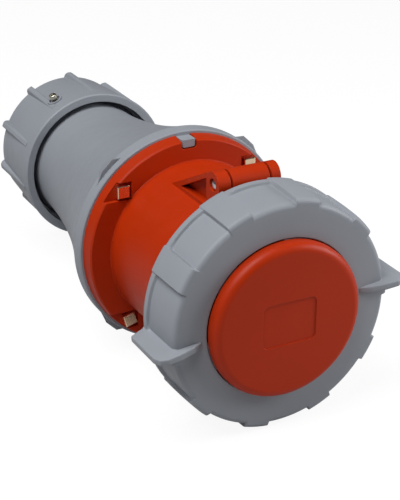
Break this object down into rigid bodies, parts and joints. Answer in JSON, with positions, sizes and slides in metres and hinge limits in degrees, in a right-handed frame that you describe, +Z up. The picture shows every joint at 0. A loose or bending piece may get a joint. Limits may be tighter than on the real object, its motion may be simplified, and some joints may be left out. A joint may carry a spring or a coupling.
{
  "type": "pin and sleeve connector",
  "caption": "In-line pin and sleeve cable connector: round collar with contact carrier, hinged sealing lid with turning bayonet ring, bell-shaped rear shell and ribbed cable gland.",
  "frame": {"origin": "on the connector's axis, in the plane of the collar's front rim", "axes": "+Y back along the axis to the cable entry, +Z up through the lid's hinge, +X right as seen from the lid"},
  "size_m": [0.1464, 0.2977, 0.133],
  "materials": {
    "red_plastic": "satin moulded thermoplastic",
    "grey_plastic": "satin moulded thermoplastic",
    "black_rubber": "smooth rubber",
    "nickel_plate": "nickel plated",
    "zinc_steel": "zinc plated",
    "black_plastic": "moulded insulating plastic",
    "stainless_steel": "polished stainless steel",
    "white_plastic": "natural slippery plastic",
    "contact_brass": "turned brass"
  },
  "bodies": {
    "housing": {"front_housing": "red_plastic", "rear_housing": "grey_plastic", "housing_gasket": "black_rubber", "flange_nuts": "nickel_plate", "flange_screws": "zinc_steel", "contact_carrier": "black_plastic", "face_plate": "black_plastic", "terminal_block": "black_plastic", "retaining_plate": "black_plastic", "carrier_screws": "zinc_steel", "contact_earth": "contact_brass", "contact_l1": "contact_brass", "contact_l2": "contact_brass", "contact_l3": "contact_brass", "pilot_contact": "contact_brass", "terminal_screws": "zinc_steel", "hinge_pin": "stainless_steel", "clamp_cage": "grey_plastic", "cable_seal": "black_rubber"},
    "lid": {"lid": "red_plastic", "lid_gasket": "black_rubber"},
    "bayonet_ring": {"bayonet_ring": "grey_plastic"},
    "thrust_ring": {"thrust_ring": "white_plastic"},
    "gland": {"gland_nut": "grey_plastic", "lock_screw": "nickel_plate"}
  },
  "joints": [
    {"name": "lid_hinge", "type": "hinge", "parent": "housing", "child": "lid", "pos_m": [0, 0.0313, 0.0612], "axis": [-1, 0, 0], "range_deg": [0, 120]},
    {"name": "ring_turn", "type": "hinge", "parent": "lid", "child": "bayonet_ring", "pos_m": [0, 0, 0], "axis": [0, 1, 0], "range_deg": [0, 35]},
    {"name": "thrust_slide", "type": "slide", "parent": "housing", "child": "thrust_ring", "axis": [0, 1, 0], "range_m": [0, 0.006]},
    {"name": "gland_turn", "type": "hinge", "parent": "thrust_ring", "child": "gland", "pos_m": [0, 0.26, 0], "axis": [0, 1, 0], "range_deg": [0, 540]}
  ],
  "couplings": [
    {"joint": "thrust_slide", "follows": "gland_turn", "m_per_rad": 0.00063662}
  ]
}
